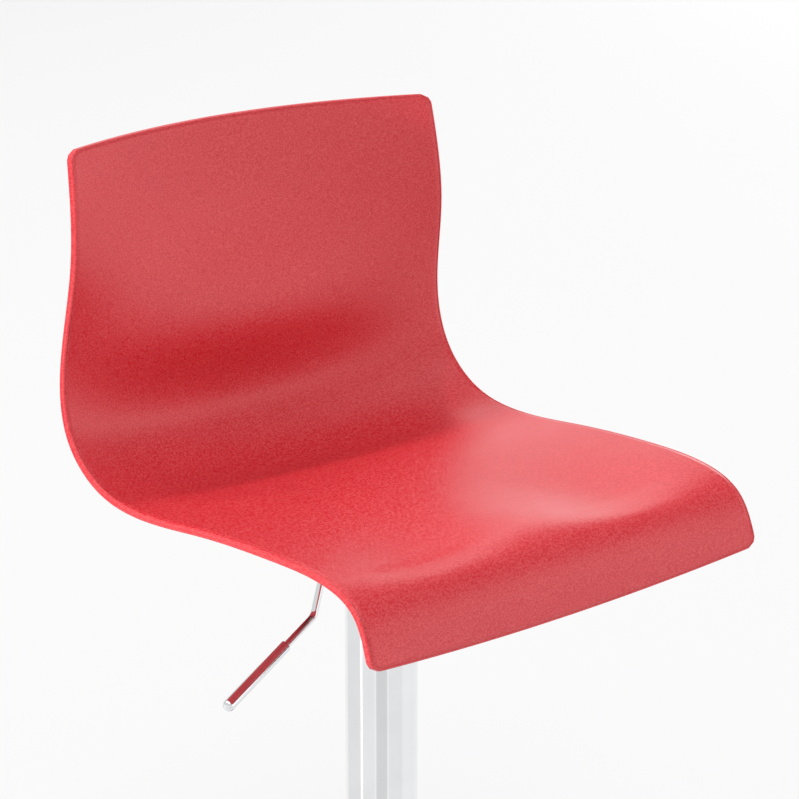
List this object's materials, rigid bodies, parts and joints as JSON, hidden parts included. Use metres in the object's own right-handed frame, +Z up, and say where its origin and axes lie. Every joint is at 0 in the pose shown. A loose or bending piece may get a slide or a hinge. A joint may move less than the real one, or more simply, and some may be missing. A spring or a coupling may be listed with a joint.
{
  "type": "adjustable swivel stool",
  "caption": "Swivel stool with a one-piece moulded plastic shell on a gas-lift column, a hand lever under the seat, a looped footrest and a round trumpet base.",
  "frame": {"origin": "centre of the base's ring face on the floor, on the column's axis", "axes": "+Z up along the column, -Y the way the sitter faces, the hand lever on the -X side"},
  "size_m": [0.4207, 0.4325, 0.8582],
  "materials": {
    "red_plastic": "moulded plastic with a fine spark-eroded grain",
    "black_plastic": "plain moulded plastic",
    "satin_chrome": "satin chrome plate",
    "chrome": "bright chrome plate",
    "black_steel": "black powder coat",
    "bare_steel": "turned steel",
    "zinc_steel": "bright zinc plate",
    "brass": "turned brass",
    "seal_rubber": "black seal rubber",
    "floor_rubber": "black moulded rubber"
  },
  "bodies": {
    "base": {"base_cover": "chrome", "base_hub": "bare_steel", "hub_bolts": "zinc_steel", "ballast_plate": "black_steel", "floor_ring": "floor_rubber", "neck_ring": "black_plastic", "outer_tube": "chrome", "tube_foot": "bare_steel", "guide_bush": "black_plastic", "lower_race": "bare_steel", "footrest_loop": "chrome", "footrest_collar": "chrome", "collar_liner": "black_plastic", "collar_screws": "zinc_steel"},
    "rod": {"piston_rod": "chrome", "piston": "bare_steel", "piston_seal": "seal_rubber", "piston_nut": "zinc_steel", "upper_race": "bare_steel", "rod_buffer": "seal_rubber", "rod_washer": "zinc_steel", "rod_clip": "zinc_steel"},
    "ball_cage": {"bearing_cage": "brass", "bearing_balls": "bare_steel"},
    "seat": {"seat_shell": "red_plastic", "seat_inserts": "brass", "seat_screws": "zinc_steel", "seat_washers": "zinc_steel", "seat_plate": "black_steel", "cone_socket": "bare_steel", "lever_bracket": "black_steel", "lever_pivot_pin": "zinc_steel", "pivot_clip": "zinc_steel", "lift_cylinder": "black_steel", "cylinder_gland": "bare_steel", "gland_seal": "seal_rubber", "valve_body": "bare_steel", "valve_seal": "seal_rubber", "column_sleeve": "satin_chrome", "sleeve_top_cap": "black_plastic", "sleeve_guide_ring": "black_plastic"},
    "lever": {"lever_rod": "chrome", "lever_grip": "chrome"},
    "valve": {"valve_pin": "bare_steel"}
  },
  "joints": [
    {"name": "seat_swivel", "type": "hinge", "parent": "base", "child": "rod", "pos_m": [0, 0, 0.039], "axis": [0, 0, 1], "continuous": true},
    {"name": "ball_run", "type": "hinge", "parent": "base", "child": "ball_cage", "pos_m": [0, 0, 0.0335], "axis": [0, 0, 1], "continuous": true},
    {"name": "seat_height", "type": "slide", "parent": "rod", "child": "seat", "axis": [0, 0, 1], "range_m": [0, 0.21]},
    {"name": "release_lever", "type": "hinge", "parent": "seat", "child": "lever", "pos_m": [-0.03007, -0.01094, 0.5486], "axis": [-0.342, 0.9397, 0], "range_deg": [0, 5], "stiffness_Nm_per_rad": 1, "springref_deg": -2.86},
    {"name": "valve_press", "type": "slide", "parent": "seat", "child": "valve", "axis": [0, 0, -1], "range_m": [0, 0.003], "stiffness_N_per_m": 1000, "springref_m": -0.001}
  ],
  "couplings": [
    {"joint": "ball_run", "follows": "seat_swivel", "ratio": 0.5},
    {"joint": "valve_press", "follows": "release_lever", "m_per_rad": 0.032}
  ]
}
